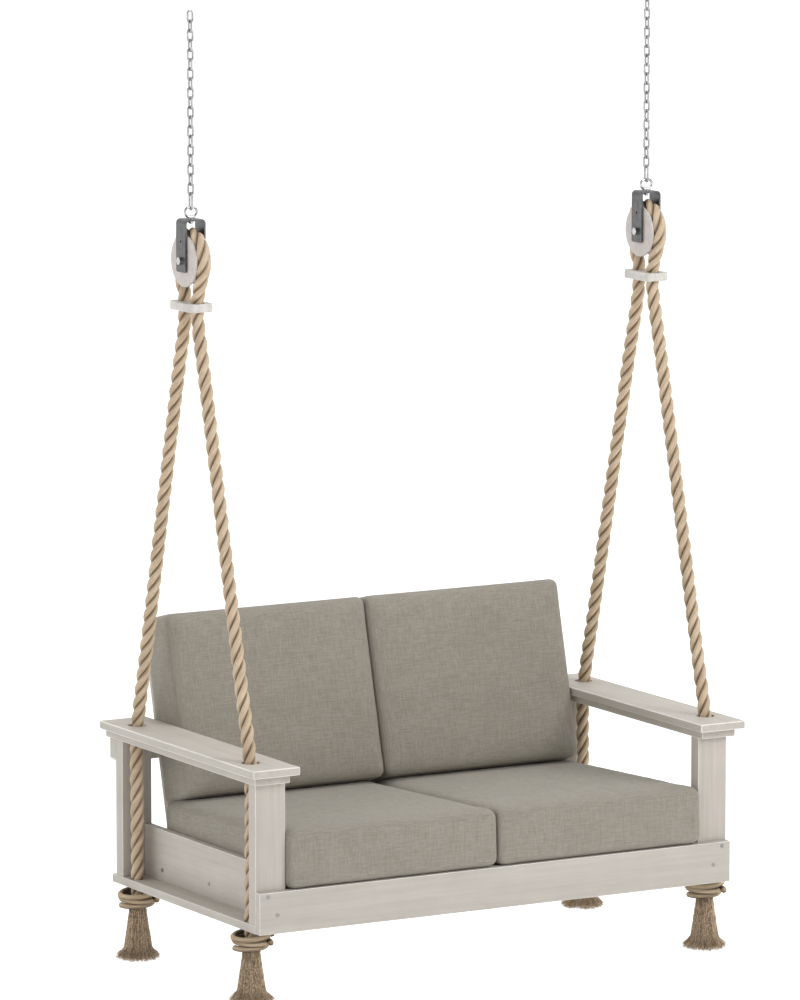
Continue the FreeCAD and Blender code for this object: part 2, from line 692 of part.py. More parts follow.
def bracket(x):
    """A strap bent over the wheel, with an axle hole and a spare hole in each leg."""
    low = AXLE_Z - LEG_BELOW_AXLE
    y0 = PIVOT_Y - STRAP_W / 2
    y1 = PIVOT_Y + STRAP_W / 2
    outer = block(x - STRAP_OUT, x + STRAP_OUT, y0, y1, low, STRAP_TOP)
    top_corners = [
        e for e in outer.Edges if abs(e.Length - STRAP_W) < 0.01 and e.CenterOfMass.z > STRAP_TOP - 1
    ]
    outer = outer.makeFillet(STRAP_BEND_R, top_corners)
    inner_top = STRAP_TOP - STRAP_T
    inner = block(x - STRAP_IN, x + STRAP_IN, y0 - 1, y1 + 1, low - 1, inner_top)
    inner_corners = [
        e for e in inner.Edges
        if abs(e.Length - STRAP_W - 2) < 0.01 and e.CenterOfMass.z > inner_top - 1
    ]
    inner = inner.makeFillet(STRAP_BEND_R - STRAP_T, inner_corners)
    strap = outer.cut(inner)
    feet = [e for e in strap.Edges if abs(e.Length - STRAP_T) < 0.01 and e.CenterOfMass.z < low + 1]
    strap = strap.makeFillet(STRAP_FOOT_ROUND, feet)
    across = Vector(1, 0, 0)
    for radius, z in ((AXLE_R + RUNNING_FIT, AXLE_Z), (SPARE_HOLE_R, AXLE_Z + SPARE_HOLE_UP)):
        start = Vector(x - STRAP_OUT - 1, PIVOT_Y, z)
        strap = strap.cut(cylinder(radius, 2 * STRAP_OUT + 2, start, across))
    start = Vector(x, PIVOT_Y, inner_top - 1)
    return strap.cut(cylinder(EYE_SHANK_R + RUNNING_FIT, STRAP_T + 2, start, Vector(0, 0, 1)))


def axle_bolt(x):
    """The heads of both bolts face left."""
    head_face = Vector(x - STRAP_OUT, PIVOT_Y, AXLE_Z)
    across = Vector(1, 0, 0)
    shank = cylinder(AXLE_R, 2 * STRAP_OUT + AXLE_NUT_T + AXLE_PAST_NUT, head_face, across)
    return shank.fuse(hexagon(AXLE_HEAD_AF, AXLE_HEAD_T, head_face, across * -1))


def axle_nut(x):
    across = Vector(1, 0, 0)
    face = Vector(x + STRAP_OUT, PIVOT_Y, AXLE_Z)
    nut = hexagon(AXLE_HEAD_AF, AXLE_NUT_T, face, across)
    return nut.cut(cylinder(AXLE_R + RUNNING_FIT, AXLE_NUT_T + 2, face - across, across))


def sleeve(x):
    """A bronze sleeve on the axle, between the bracket's legs."""
    half = STRAP_IN - SLEEVE_END_GAP
    start = Vector(x - half, PIVOT_Y, AXLE_Z)
    across = Vector(1, 0, 0)
    outer = cylinder(SLEEVE_R, 2 * half, start, across)
    return outer.cut(cylinder(AXLE_R + RUNNING_FIT, 2 * half + 2, start - across, across))


def pulley_blocks():
    for word, side in SIDES:
        x = side * ROPE_X
        save("sheave_" + word, sheave(x))
        save("bracket_" + word, bracket(x))
        save("axle_bolt_" + word, axle_bolt(x))
    save("axle_sleeves", *[sleeve(side * ROPE_X) for _, side in SIDES])
    save("axle_nuts", *[axle_nut(side * ROPE_X) for _, side in SIDES])


# ---- Rings of wire: the eye and the links -------------------------------------------------
def wire_ring(bend_radius, straight, wire_radius, middle, long_axis):
    """A closed ring of round wire: two half circles joined by two straight runs.

    The ring lies in the plane of X and Z, or of Y and Z when long_axis is "YZ", and its
    straight runs are upright, apart from "X", where they lie along X.
    """
    if long_axis == "YZ":
        u, v = Vector(0, 1, 0), Vector(0, 0, 1)
    elif long_axis == "XZ":
        u, v = Vector(1, 0, 0), Vector(0, 0, 1)
    else:
        u, v = Vector(0, 0, 1), Vector(1, 0, 0)
    half = v * (straight / 2)
    starts = [middle - half + u * bend_radius * side for _, side in SIDES]
    parts = [cylinder(wire_radius, straight, start, v) for start in starts]
    size = 2 * (bend_radius + wire_radius) + 2
    for centre, outward in ((middle + half, v), (middle - half, v * -1)):
        whole = Part.makeTorus(bend_radius, wire_radius, centre, u.cross(v))
        keep = Part.makeBox(size, size, size, Vector(-size / 2, -size / 2, 0))
        keep.Placement = FreeCAD.Placement(centre, FreeCAD.Rotation(Vector(0, 0, 1), outward))
        parts.append(whole.common(keep))
    ring = parts[0].multiFuse(parts[1:]).removeSplitter()
    return ring.Solids[0]


def link(x, low_wire_z, plane, inside_length):
    """A chain link whose lower wire is centred at that height."""
    bend_radius = LINK_INSIDE_W / 2 + LINK_WIRE_R
    wires_apart = inside_length + 2 * LINK_WIRE_R
    straight = wires_apart - 2 * bend_radius
    middle = Vector(x, PIVOT_Y, low_wire_z + wires_apart / 2)
    return wire_ring(bend_radius, straight, LINK_WIRE_R, middle, plane)


def eye_bolt(x):
    """A flattened eye on a collar, with a shank through the bracket."""
    eye = wire_ring(EYE_BEND_R, EYE_FLAT, EYE_WIRE_R, Vector(x, PIVOT_Y, EYE_Z), "X")
    up = Vector(0, 0, 1)
    collar = cylinder(EYE_COLLAR_R, EYE_COLLAR_T + EYE_WIRE_R, Vector(x, PIVOT_Y, STRAP_TOP), up)
    shank_start = Vector(x, PIVOT_Y, STRAP_TOP - EYE_SHANK_L)
    shank = cylinder(EYE_SHANK_R, EYE_SHANK_L + 1, shank_start, up)
    return eye.multiFuse([collar, shank]).removeSplitter().Solids[0]


def eye_nut(x):
    down = Vector(0, 0, -1)
    face = Vector(x, PIVOT_Y, STRAP_TOP - STRAP_T)
    nut = hexagon(EYE_NUT_AF, EYE_NUT_T, face, down)
    return nut.cut(cylinder(EYE_SHANK_R + RUNNING_FIT, EYE_NUT_T + 2, face - down, down))


def hanging_gear():
    """The eye bolt, its nut, the long link and the chain on each side, and the top links."""
    for word, side in SIDES:
        x = side * ROPE_X
        save("eye_bolt_" + word, eye_bolt(x))
        save("long_link_" + word, link(x, LONG_LINK_Z0, "YZ", LONG_LINK_INSIDE_L))
        chain = []
        for k in range(CHAIN_LINKS - 1):
            plane = "XZ" if k % 2 == 0 else "YZ"
            chain.append(link(x, LAST_LINK_Z0 + k * LINK_PITCH, plane, LINK_INSIDE_L))
        save("chain_" + word, *chain)
        top_plane = "XZ" if (CHAIN_LINKS - 1) % 2 == 0 else "YZ"
        save("top_link_" + word, link(x, TOP_LINK_Z0, top_plane, LINK_INSIDE_L))
    save("eye_nuts", *[eye_nut(side * ROPE_X) for _, side in SIDES])


def report_places():
    """Prints the places that a joint, a mount or an opening refers to, in the part's frame."""
    top_wire = TOP_LINK_Z0 - HOOK_Z
    print("top hinge z", round(top_wire, 2), "eye hinge z", round(EYE_PIVOT_Z - HOOK_Z, 2))
    print("axle z", round(AXLE_Z - HOOK_Z, 2), "pivot y", PIVOT_Y, "hook z", round(HOOK_Z, 2))
    *bends, out = rope_half()
    for distance, z in bends:
        print("rope bend", round(distance, 2), "from the pivot plane, z", round(z - HOOK_Z, 2))
    print("rope leaves the sheave at", round(math.degrees(out), 2), "degrees from upright")


front_rail()
posts()
bottom_planks()
side_panels()
arms()
upper_rear_rail()
lower_rear_rail()
back_slats(seat_bearers())
seat_slats()
back_top_rail()
back_wedge()
frame_screws()
seat_cushions()
back_cushions()
ropes()
rope_ends()
spreaders()
pulley_blocks()
hanging_gear()
report_places()
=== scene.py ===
"""The looks of the porch swing: finishes, cushions, ropes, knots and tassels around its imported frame.

Everything is in metres and in the part's own frame: X to the right, Y to the back, Z up, with the
origin midway between the two hooks. Left is -X, as someone who stands before the swing sees it.
"""

import logging
import math
import random
from collections.abc import Sequence
from dataclasses import dataclass, field, replace
from enum import Enum
from itertools import product

import bpy
import numpy as np
from mathutils import Euler, Matrix, Vector, noise
from mathutils.bvhtree import BVHTree


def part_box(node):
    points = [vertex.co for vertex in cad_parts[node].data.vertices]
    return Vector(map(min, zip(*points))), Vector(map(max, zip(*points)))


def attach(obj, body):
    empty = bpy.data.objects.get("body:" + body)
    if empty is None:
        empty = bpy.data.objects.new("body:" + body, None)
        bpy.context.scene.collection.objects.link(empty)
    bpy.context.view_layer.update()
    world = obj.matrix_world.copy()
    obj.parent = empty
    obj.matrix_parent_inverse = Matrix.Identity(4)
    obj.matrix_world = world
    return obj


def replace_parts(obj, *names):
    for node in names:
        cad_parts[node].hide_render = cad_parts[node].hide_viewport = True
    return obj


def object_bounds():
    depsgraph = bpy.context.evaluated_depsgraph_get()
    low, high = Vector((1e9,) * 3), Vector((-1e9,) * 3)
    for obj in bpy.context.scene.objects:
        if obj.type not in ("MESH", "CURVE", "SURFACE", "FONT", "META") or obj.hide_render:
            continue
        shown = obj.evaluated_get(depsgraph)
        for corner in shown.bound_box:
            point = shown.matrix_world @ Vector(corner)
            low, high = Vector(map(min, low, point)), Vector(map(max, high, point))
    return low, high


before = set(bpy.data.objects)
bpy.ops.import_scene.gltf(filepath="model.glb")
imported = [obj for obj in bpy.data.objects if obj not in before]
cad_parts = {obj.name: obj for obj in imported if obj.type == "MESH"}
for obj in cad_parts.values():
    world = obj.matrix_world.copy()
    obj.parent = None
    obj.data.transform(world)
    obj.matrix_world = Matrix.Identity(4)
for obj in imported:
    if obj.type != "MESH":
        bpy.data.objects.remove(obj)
CAD_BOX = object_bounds()
LOG = logging.getLogger("swing")

Triple = tuple[float, float, float]
Material = bpy.types.Material
Piece = bpy.types.Object

TURN = 2 * math.pi
TINY = 1e-9
NEAR = 1e-6
ORIGIN = (0.0, 0.0, 0.0)
EVEN = (1.0, 1.0, 1.0)
MIX_A, MIX_B, MIX_RESULT = 6, 7, 2  # the Mix node's colour sockets


class Word(Enum):
    """A choice that is part of the nodes' names."""

    @property
    def word(self) -> str:
        """The member's name as the nodes spell it.

        Returns:
            The name.
        """
        return self.name.lower()


class Side(Word):
    """The swing's two sides, with the sign of X on each."""

    LEFT = -1
    RIGHT = 1


class Place(Word):
    """The two ends of a rope, with the sign of Y from the pivot plane."""

    FRONT = -1
    BACK = 1


class Grain(Enum):
    """The axis that a board's grain runs along."""

    X = 0
    Y = 1
    Z = 2


# ---- Small tools for meshes ----


def smoothstep(value: float | np.ndarray) -> float | np.ndarray:
    """Rises smoothly from 0 to 1.

    Args:
        value: Any number or array; it is limited to 0..1 first.

    Returns:
        The eased number or array.
    """
    limited = np.clip(value, 0.0, 1.0)
    return limited * limited * (3 - 2 * limited)


def unit(vectors: np.ndarray) -> np.ndarray:
    """Scales each row to length one.

    Args:
        vectors: An array of vectors, one a row.

    Returns:
        The unit vectors.
    """
    return vectors / np.maximum(np.linalg.norm(vectors, axis=1, keepdims=True), TINY)


def tangents(points: np.ndarray) -> np.ndarray:
    """The unit direction of an open line at each of its points.

    Args:
        points: The line's points, one a row.

    Returns:
        One unit vector a point.
    """
    return unit(np.gradient(points, axis=0))


def walked(points: np.ndarray) -> np.ndarray:
    """How far along an open line each of its points is.

    Args:
        points: The line's points, one a row.

    Returns:
        The distance from the first point, one number a point.
    """
    return np.concatenate(([0.0], np.cumsum(np.linalg.norm(np.diff(points, axis=0), axis=1))))


def resampled(points: np.ndarray, step: float) -> np.ndarray:
    """The same line with its points a fixed distance apart.

    Args:
        points: The line's points, one a row.
        step: The wanted distance between points.

    Returns:
        The new points.
    """
    along = walked(points)
    wanted = np.linspace(0.0, along[-1], max(2, round(along[-1] / step) + 1))
    return np.stack([np.interp(wanted, along, points[:, k]) for k in range(3)], axis=1)


def spots(count: int) -> np.ndarray:
    """Angles spread evenly round a circle.

    Args:
        count: How many.

    Returns:
        The angles in radians, from 0.
    """
    return np.arange(count) * (TURN / count)


def linked(name: str, data: bpy.types.ID) -> Piece:
    """Adds an object to the scene.

    Args:
        name: The object's name.
        data: Its mesh, curve, lamp or camera.

    Returns:
        The object.
    """
    made = bpy.data.objects.new(name, data)
    bpy.context.scene.collection.objects.link(made)
    return made


def top_of(node: str) -> np.ndarray:
    """The middle of the top of a node's box.

    Args:
        node: The node's name.

    Returns:
        The point.
    """
    low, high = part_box(node)
    return np.array(((low.x + high.x) / 2, (low.y + high.y) / 2, high.z))


@dataclass
class MeshParts:
    """Vertices, faces and texture coordinates that are gathered into one mesh."""

    vertices: list[np.ndarray] = field(default_factory=list)
    faces: list[tuple[int, ...]] = field(default_factory=list)
    corners: list[np.ndarray] = field(default_factory=list)
    count: int = 0

    def tube(
        self,
        centres: np.ndarray,
        radii: np.ndarray,
        across: np.ndarray,
        around: int,
        closed: bool = False,
        texture_start: tuple[float, float] = (0.0, 0.0),
    ) -> None:
        """Adds a tube whose texture runs round it in U and along it in V, both in metres.

        Args:
            centres: The tube's centreline, one point a row.
            radii: The radius at each point, or one a point and direction.
            across: The direction in which each ring starts.
            around: How many vertices each ring has.
            closed: Whether the line's end joins its start; if not, both ends are capped.
            texture_start: Added to the texture's U and V.
        """
        along = tangents(centres)
        if closed:
            along = unit(np.roll(centres, -1, axis=0) - np.roll(centres, 1, axis=0))
        first = unit(across - (across * along).sum(1, keepdims=True) * along)
        second = np.cross(along, first)
        angle = spots(around)
        rings = len(centres)
        reach = np.broadcast_to(np.asarray(radii, float).reshape(rings, -1), (rings, around))
        ring = np.cos(angle)[:, None] * first[:, None] + np.sin(angle)[:, None] * second[:, None]
        self.vertices.append((centres[:, None] + ring * reach[:, :, None]).reshape(-1, 3))
        distance = walked(np.vstack([centres, centres[:1]]) if closed else centres)
        size = TURN * float(np.mean(reach))
        for i in range(rings if closed else rings - 1):
            after = (i + 1) % rings
            v0, v1 = distance[i], distance[i + 1]
            for j in range(around):
                k = (j + 1) % around
                quad = (i * around + j, i * around + k, after * around + k, after * around + j)
                self.faces.append(tuple(self.count + n for n in quad))
                u0, u1 = size * j / around, size * (j + 1) / around
                self.corners.append(np.array([[u0, v0], [u1, v0], [u1, v1], [u0, v1]]) + texture_start)
        if not closed:
            for start, order in ((0, -1), ((rings - 1) * around, 1)):
                cap = [self.count + start + j for j in range(around)][::order]
                self.faces.append(tuple(cap))
                end = np.array([[size / 2, distance[-1]]])
                self.corners.append(np.tile(end, (around, 1)) + texture_start)
        self.count += rings * around

    def build(self, name: str) -> Piece:
        """Makes the object.

        Args:
            name: The object's name.

        Returns:
            The new object, linked to the scene, with smooth faces.
        """
        mesh = bpy.data.meshes.new(name)
        mesh.from_pydata(np.concatenate(self.vertices).tolist(), [], self.faces)
        layer = mesh.uv_layers.new(name="Strand")
        layer.data.foreach_set("uv", np.concatenate(self.corners).astype(np.float32).ravel())
        mesh.shade_smooth()
        return linked(name, mesh)


def vertices_of(mesh: bpy.types.Mesh) -> np.ndarray:
    """A mesh's vertex places.

    Args:
        mesh: The mesh to read.

    Returns:
        One row a vertex.
    """
    flat = np.empty(len(mesh.vertices) * 3, np.float32)
    mesh.vertices.foreach_get("co", flat)
    return flat.reshape(-1, 3).astype(float)


def place_vertices(mesh: bpy.types.Mesh, points: np.ndarray) -> None:
    """Moves a mesh's vertices.

    Args:
        mesh: The mesh to change.
        points: One row a vertex.
    """
    mesh.vertices.foreach_set("co", points.astype(np.float32).ravel())
    mesh.update()


def finished(piece: Piece, body: str, material: Material) -> Piece:
    """Gives a piece its material and slot, and lets it ride on a body.

    Args:
        piece: The piece, already in place.
        body: The body that it moves with.
        material: The finish.

    Returns:
        The same piece.
    """
    piece.data.materials.clear()
    piece.data.materials.append(material)
    LOG.info("%s rides on %s", piece.name, body)
    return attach(piece, body)


# ---- Materials ----


class Nodes:
    """Builds one material's node tree around a Principled shader."""

    def __init__(self, name: str) -> None:
        """Starts the material.

        Args:
            name: The material's name.
        """
        self.material = bpy.data.materials.new(name)
        self.material.use_nodes = True
        self.tree = self.material.node_tree
        self.tree.nodes.clear()
        self.shader = self.tree.nodes.new("ShaderNodeBsdfPrincipled")
        output = self.tree.nodes.new("ShaderNodeOutputMaterial")
        self.tree.links.new(self.shader.outputs[0], output.inputs[0])
        coordinates = self.tree.nodes.new("ShaderNodeTexCoord").outputs
        self.place, self.normal, self.strand = (coordinates[key] for key in ("Object", "Normal", "UV"))

    def put(self, socket: bpy.types.NodeSocket, value: object) -> None:
        """Links or sets one input.

        Args:
            socket: The input.
            value: A socket to link, or a plain value.
        """
        if isinstance(value, bpy.types.NodeSocket):
            self.tree.links.new(value, socket)
        elif socket.type == "RGBA" and len(value) == 3:
            socket.default_value = (*value, 1.0)
        else:
            socket.default_value = value

    def node(self, kind: str, inputs: dict, **settings: object) -> bpy.types.Node:
        """Adds a node.

        Args:
            kind: The node's type, without its "ShaderNode" prefix.
            inputs: Input name or number, with a value or a socket.
            **settings: The node's own properties.

        Returns:
            The node.
        """
        made = self.tree.nodes.new("ShaderNode" + kind)
        for key, value in settings.items():
            setattr(made, key, value)
        for key, value in inputs.items():
            self.put(made.inputs[key], value)
        return made

    def math(self, operation: str, *values: object) -> bpy.types.NodeSocket:
        """A maths node on numbers.

        Args:
            operation: The maths node's operation.
            *values: Its inputs in order.

        Returns:
            Its result.
        """
        return self.node("Math", dict(enumerate(values)), operation=operation).outputs[0]

    def mapped(
        self, source: object, scale: Sequence[float], shift: Sequence[float] = ORIGIN, turn: float = 0.0
    ) -> object:
        """A vector turned about X, then shifted and scaled.

        Args:
            source: The vector's socket.
            scale: The scale on each axis.
            shift: Added to the turned vector before it is scaled.
            turn: The turn about X, in degrees.

        Returns:
            The new vector's socket.
        """
        turned = source
        if turn:
            turned = self.node(
                "VectorRotate", {"Vector": source, "Angle": math.radians(turn)}, rotation_type="X_AXIS"
            ).outputs[0]
        moved = self.node("VectorMath", {0: turned, 1: tuple(shift)}, operation="ADD").outputs[0]
        return self.node("VectorMath", {0: moved, 1: tuple(scale)}, operation="MULTIPLY").outputs[0]

    def noise(self, vector: object, scale: float, detail: float = 3.0, roughness: float = 0.55) -> object:
        """A noise texture's grey value.

        Args:
            vector: The place.
            scale: The noise's scale.
            detail: How many octaves.
            roughness: How strong the finer octaves are.

        Returns:
            The value's socket.
        """
        inputs = {"Vector": vector, "Scale": scale, "Detail": detail, "Roughness": roughness}
        return self.node("TexNoise", inputs).outputs[0]

    def spread(
        self, value: object, low: float, high: float, to_low: float = 0.0, to_high: float = 1.0
    ) -> object:
        """Maps a number from one range to another, kept within it.

        Args:
            value: The number.
            low: Where the range starts.
            high: Where the range ends.
            to_low: What the start becomes.
            to_high: What the end becomes.

        Returns:
            The mapped number's socket.
        """
        inputs = {0: value, 1: low, 2: high, 3: to_low, 4: to_high}
        return self.node("MapRange", inputs, clamp=True).outputs[0]

    def blend(self, *parts: tuple[object, object]) -> object:
        """Adds up values, each times its own weight.

        Args:
            *parts: Pairs of a value and its weight; either may be a socket.

        Returns:
            The sum's socket.
        """
        total = None
        for value, weight in parts:
            part = self.math("MULTIPLY", value, weight)
            total = part if total is None else self.math("ADD", total, part)
        return total

    def mix(self, share: object, first: object, second: object) -> object:
        """Mixes two colours.

        Args:
            share: How much of the second colour, 0 to 1.
            first: The first colour.
            second: The second colour.

        Returns:
            The mixed colour's socket.
        """
        inputs = {0: share, MIX_A: first, MIX_B: second}
        return self.node("Mix", inputs, data_type="RGBA").outputs[MIX_RESULT]

    def finish(
        self, colour: object, roughness: object, bump: object = None, height: float = 0.0, **plain: float
    ) -> Material:
        """Joins the colour, roughness and bump to the shader.

        Args:
            colour: The base colour, or a socket.
            roughness: The roughness, or a socket.
            bump: The height's socket, if the surface has one.
            height: How high the bump is, in metres.
            **plain: The shader's own values, with underscores for spaces.

        Returns:
            The material.
        """
        self.put(self.shader.inputs["Base Color"], colour)
        self.put(self.shader.inputs["Roughness"], roughness)
        for key, value in plain.items():
            self.put(self.shader.inputs[key.replace("_", " ")], value)
        if bump is not None:
            inputs = {"Height": bump, "Distance": height, "Strength": 1.0}
            self.put(self.shader.inputs["Normal"], self.node("Bump", inputs).outputs[0])
        return self.material


@dataclass(frozen=True)
class LimedWood:
    """Whitewashed lumber: faint grey grain under a thin pale wash, lighter along its edges, partly from wear
    and partly as a painted highlight.

    layers holds the streaks', boards' and pores' scale along and across the grain, detail and roughness.
    """

    grain: Grain
    lean: float = 0.0
    seed: float = 0.0
    wash: Triple = (0.578, 0.543, 0.490)
    shade: Triple = (0.486, 0.452, 0.402)
    edge: Triple = (0.870, 0.852, 0.815)
    line: Triple = (0.400, 0.365, 0.315)
    layers: tuple[tuple[float, ...], ...] = (
        (3.0, 95.0, 5.0, 0.6),
        (1.2, 14.0, 3.0, 0.55),
        (14.0, 520.0, 2.0, 0.55),
    )

    def build(self, name: str) -> Material:
        """Makes the material.

        Args:
            name: The material's name.

        Returns:
            The material.
        """
        kit = Nodes(name)
        shift = (self.seed, self.seed * 1.7, self.seed * 0.6)
        found = []
        for along, across, detail, roughness in self.layers:
            scale = [along if axis is self.grain else across for axis in Grain]
            found.append(kit.noise(kit.mapped(kit.place, scale, shift, self.lean), 1.0, detail, roughness))
        streak, board, pores = found
        cloud = kit.noise(kit.mapped(kit.place, EVEN, shift), 9.0, 4.0, 0.6)
        tone = kit.blend((streak, 0.45), (board, 0.30), (cloud, 0.25))
        colour = kit.mix(kit.spread(tone, 0.36, 0.62), self.shade, self.wash)
        colour = kit.mix(kit.spread(pores, 0.60, 0.80, 0.0, 0.28), colour, self.line)
        # Edges: the fillets, found from the normal, take the lighter colour, mottled by the cloud: partly
        # wear, partly a painted highlight.
        split = kit.node("SeparateXYZ", {0: kit.mapped(kit.normal, EVEN, ORIGIN, self.lean)})
        x, y, z = (kit.math("ABSOLUTE", way) for way in split.outputs)
        flat = kit.math("MAXIMUM", kit.math("MAXIMUM", x, y), z)
        worn = kit.math("MULTIPLY", kit.spread(flat, 0.998, 0.92), kit.spread(cloud, 0.25, 0.55, 0.45, 1.0))
        colour = kit.mix(worn, colour, self.edge)
        height = kit.blend((streak, 0.6), (pores, -0.5))
        rough = kit.spread(tone, 0.3, 0.7, 0.62, 0.50)
        return kit.finish(colour, rough, height, 0.0006, Specular_IOR_Level=0.35)


@dataclass(frozen=True)
class SlubWeave:
    """A grey-taupe linen weave: two sets of threads of uneven thickness that cross on every face."""

    light: Triple = (0.362, 0.336, 0.284)
    dark: Triple = (0.252, 0.232, 0.192)
    seed: float = 0.0
    thread: float = 820.0
    slub: float = 330.0

    def build(self, name: str) -> Material:
        """Makes the material.

        Args:
            name: The material's name.

        Returns:
            The material.
        """
        kit = Nodes(name)
        ways = kit.node("SeparateXYZ", {0: kit.normal}).outputs
        shown = [kit.math("SUBTRACT", 1.0, kit.math("MULTIPLY", way, way)) for way in ways]
        fine = self.crossed(kit, shown, self.thread, 38.0, 1.0)
        slub = self.crossed(kit, shown, self.slub, 20.0, 3.0)
        heather = kit.noise(kit.mapped(kit.place, EVEN, (self.seed, 0.0, 0.0)), 7.0, 3.0)
        tone = kit.blend((fine, 0.56), (slub, 0.36), (heather, 0.08))
        colour = kit.mix(kit.spread(tone, 0.40, 0.60), self.dark, self.light)
        rough = kit.spread(fine, 0.3, 0.7, 0.95, 0.82)
        height = kit.blend((fine, 0.7), (slub, 0.3))
        return kit.finish(
            colour, rough, height, 0.0006, Sheen_Weight=0.18, Sheen_Roughness=0.5, Specular_IOR_Level=0.2
        )

    def crossed(self, kit: Nodes, shown: list, across: float, along: float, shift: float) -> object:
        """Threads along each axis, each shown on the faces that it lies in.

        Args:
            kit: The material's nodes.
            shown: How far each axis lies in the surface, one socket an axis.
            across: How many threads a metre.
            along: How fast a thread changes along its length.
            shift: Keeps this set of threads apart from others.

        Returns:
            The weave's grey value.
        """
        threads = []
        for axis in range(3):
            scale = [across] * 3
            scale[axis] = along
            moved = kit.mapped(kit.place, scale, (shift + axis + self.seed, shift, axis * 0.37))
            threads.append((kit.noise(moved, 1.0, 1.0), shown[axis]))
        return kit.math("MULTIPLY", kit.blend(*threads), 0.5)


@dataclass(frozen=True)
class Manila:
    """Laid manila: fine pale fibres that run along each strand. Painted shade darkens the grooves between the
    strands, and faces that point down.
    """

    pale: Triple = (0.700, 0.560, 0.405)
    tan: Triple = (0.455, 0.345, 0.230)
    brown: Triple = (0.240, 0.160, 0.088)
    groove: Triple = (0.150, 0.098, 0.054)
    girth: float = 0.054
    soiled: float = 0.0
    fibre: Triple = (1500.0, 45.0, 1.0)
    yarn: Triple = (420.0, 10.0, 1.0)

    def build(self, name: str) -> Material:
        """Makes the material.

        Args:
            name: The material's name.

        Returns:
            The material.
        """
        kit = Nodes(name)
        fibres = kit.noise(kit.mapped(kit.strand, self.fibre), 1.0, 3.0, 0.65)
        yarns = kit.noise(kit.mapped(kit.strand, self.yarn, (3.0, 1.0, 0.0)), 1.0, 2.0)
        patches = kit.noise(kit.place, 16.0, 3.0)
        tone = kit.blend((fibres, 0.45), (yarns, 0.35), (patches, 0.20))
        colour = kit.mix(kit.spread(tone, 0.40, 0.57), self.tan, self.pale)
        colour = kit.mix(kit.spread(fibres, 0.62, 0.80, 0.0, 0.45), colour, self.brown)
        # Painted shade: the side of each strand that faces the rope's core, where the strands meet, darkens
        # towards the shade colour.
        round_it = kit.math("FRACT", kit.node("SeparateXYZ", {0: kit.strand}).outputs[0])
        inward = kit.math("ABSOLUTE", kit.math("SUBTRACT", kit.math("DIVIDE", round_it, self.girth / 2), 1.0))
        colour = kit.mix(kit.spread(inward, 0.30, 0.60, 0.0, 0.85), colour, self.groove)
        # Painted shade: faces that point down darken towards the same colour, as if shaded from above.
        facing = kit.node("SeparateXYZ", {0: kit.normal}).outputs[2]
        colour = kit.mix(kit.spread(facing, 0.15, -0.85, 0.0, self.soiled), colour, self.groove)
        height = kit.blend((fibres, 0.5), (yarns, 0.5))
        rough = kit.spread(fibres, 0.3, 0.7, 0.86, 0.72)
        return kit.finish(colour, rough, height, 0.0009, Specular_IOR_Level=0.25)


@dataclass(frozen=True)
class FrayedFibre:
    """Combed-out rope ends: each fibre has its own tone."""

    pale: Triple = (0.880, 0.700, 0.500)
    brown: Triple = (0.210, 0.146, 0.088)

    def build(self, name: str) -> Material:
        """Makes the material.

        Args:
            name: The material's name.

        Returns:
            The material.
        """
        kit = Nodes(name)
        number = kit.math("FLOOR", kit.node("SeparateXYZ", {0: kit.strand}).outputs[0])
        own = kit.node("TexWhiteNoise", {"W": number}, noise_dimensions="1D").outputs[0]
        speckle = kit.noise(kit.mapped(kit.place, (1.0, 1.0, 0.55)), 420.0, 2.0, 0.7)
        tone = kit.blend((own, 0.22), (speckle, 0.78))
        colour = kit.mix(kit.spread(tone, 0.36, 0.66), self.brown, self.pale)
        return kit.finish(colour, 0.85, speckle, 0.0006, Specular_IOR_Level=0.2)


@dataclass(frozen=True)
class Coat:
    """A hard surface in two tones: fine lines over a soft mottle. A centre makes the lines turned rings.

    The lines and the mottle are each a noise's scale, detail and roughness.
    """

    light: Triple
    dark: Triple
    smooth: float
    rough: float
    brush: Triple = EVEN
    shift: Triple = (0.2, 0.5, 0.1)
    lines: Triple = (1.0, 4.0, 0.6)
    mottle: Triple = (60.0, 4.0, 0.6)
    share: float = 0.55
    low: float = 0.36
    high: float = 0.64
    depth: float = 0.0001
    metallic: float = 1.0
    specular: float = 0.5
    centre: Triple | None = None

    def build(self, name: str) -> Material:
        """Makes the material.

        Args:
            name: The material's name.

        Returns:
            The material.
        """
        kit = Nodes(name)
        if self.centre is None:
            place, lined = kit.place, kit.mapped(kit.place, self.brush, self.shift)
        else:
            offset = kit.mapped(kit.place, (0.0, 1.0, 1.0), [-c for c in self.centre])
            place = kit.mapped(offset, EVEN, self.shift)
            reach = kit.node("VectorMath", {0: offset}, operation="LENGTH").outputs["Value"]
            lined = kit.node("CombineXYZ", {0: reach, 1: 0.0, 2: 0.0}).outputs[0]
        lines = kit.noise(lined, *self.lines)
        mottle = kit.noise(place, *self.mottle)
        tone = kit.blend((lines, self.share), (mottle, 1.0 - self.share))
        colour = kit.mix(kit.spread(tone, self.low, self.high), self.dark, self.light)
        rough = kit.spread(tone if self.metallic else mottle, 0.3, 0.7, self.smooth, self.rough)
        sheen = {"Metallic": self.metallic, "Specular_IOR_Level": self.specular}
        return kit.finish(colour, rough, lines, self.depth, **sheen)
